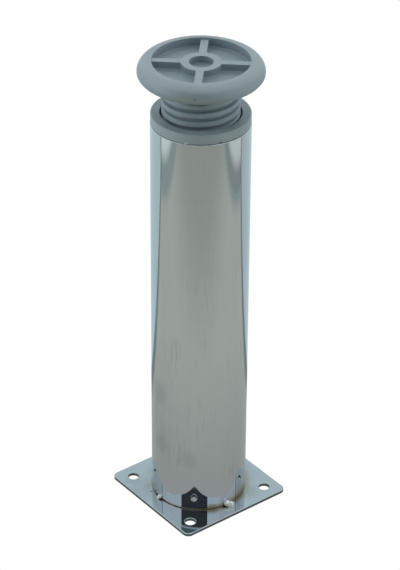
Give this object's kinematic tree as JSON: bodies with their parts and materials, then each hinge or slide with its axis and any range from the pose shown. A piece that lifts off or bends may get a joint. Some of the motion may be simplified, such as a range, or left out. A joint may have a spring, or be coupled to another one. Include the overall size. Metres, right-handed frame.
{
  "type": "adjustable cabinet leg",
  "caption": "Round plated steel cabinet leg on a square screw plate, with a plastic threaded insert and a ribbed disc foot that screws in and out to set its height.",
  "frame": {"origin": "centre of the mounting plate's outer face, which goes against the cabinet", "axes": "+Z along the tube towards the foot, +X and +Y along the plate's sides"},
  "size_m": [0.08, 0.08, 0.3056],
  "materials": {
    "mounting_plate": "dull plated steel sheet",
    "leg_tube": "satin plated steel tube with faint lengthwise streaks",
    "tack_weld": "rough weld bead",
    "threaded_insert": "grey moulded plastic, slightly marked",
    "levelling_foot": "grey moulded plastic with a soft sheen"
  },
  "bodies": {
    "leg": {"mounting_plate": "mounting_plate", "leg_tube": "leg_tube", "threaded_insert": "threaded_insert", "tack_weld_1": "tack_weld", "tack_weld_2": "tack_weld", "tack_weld_3": "tack_weld", "tack_weld_4": "tack_weld"},
    "foot": {"levelling_foot": "levelling_foot"}
  },
  "joints": [
    {"name": "height_adjust", "type": "slide", "parent": "leg", "child": "foot", "axis": [0, 0, 1], "range_m": [-0.0196, 0.015]}
  ]
}
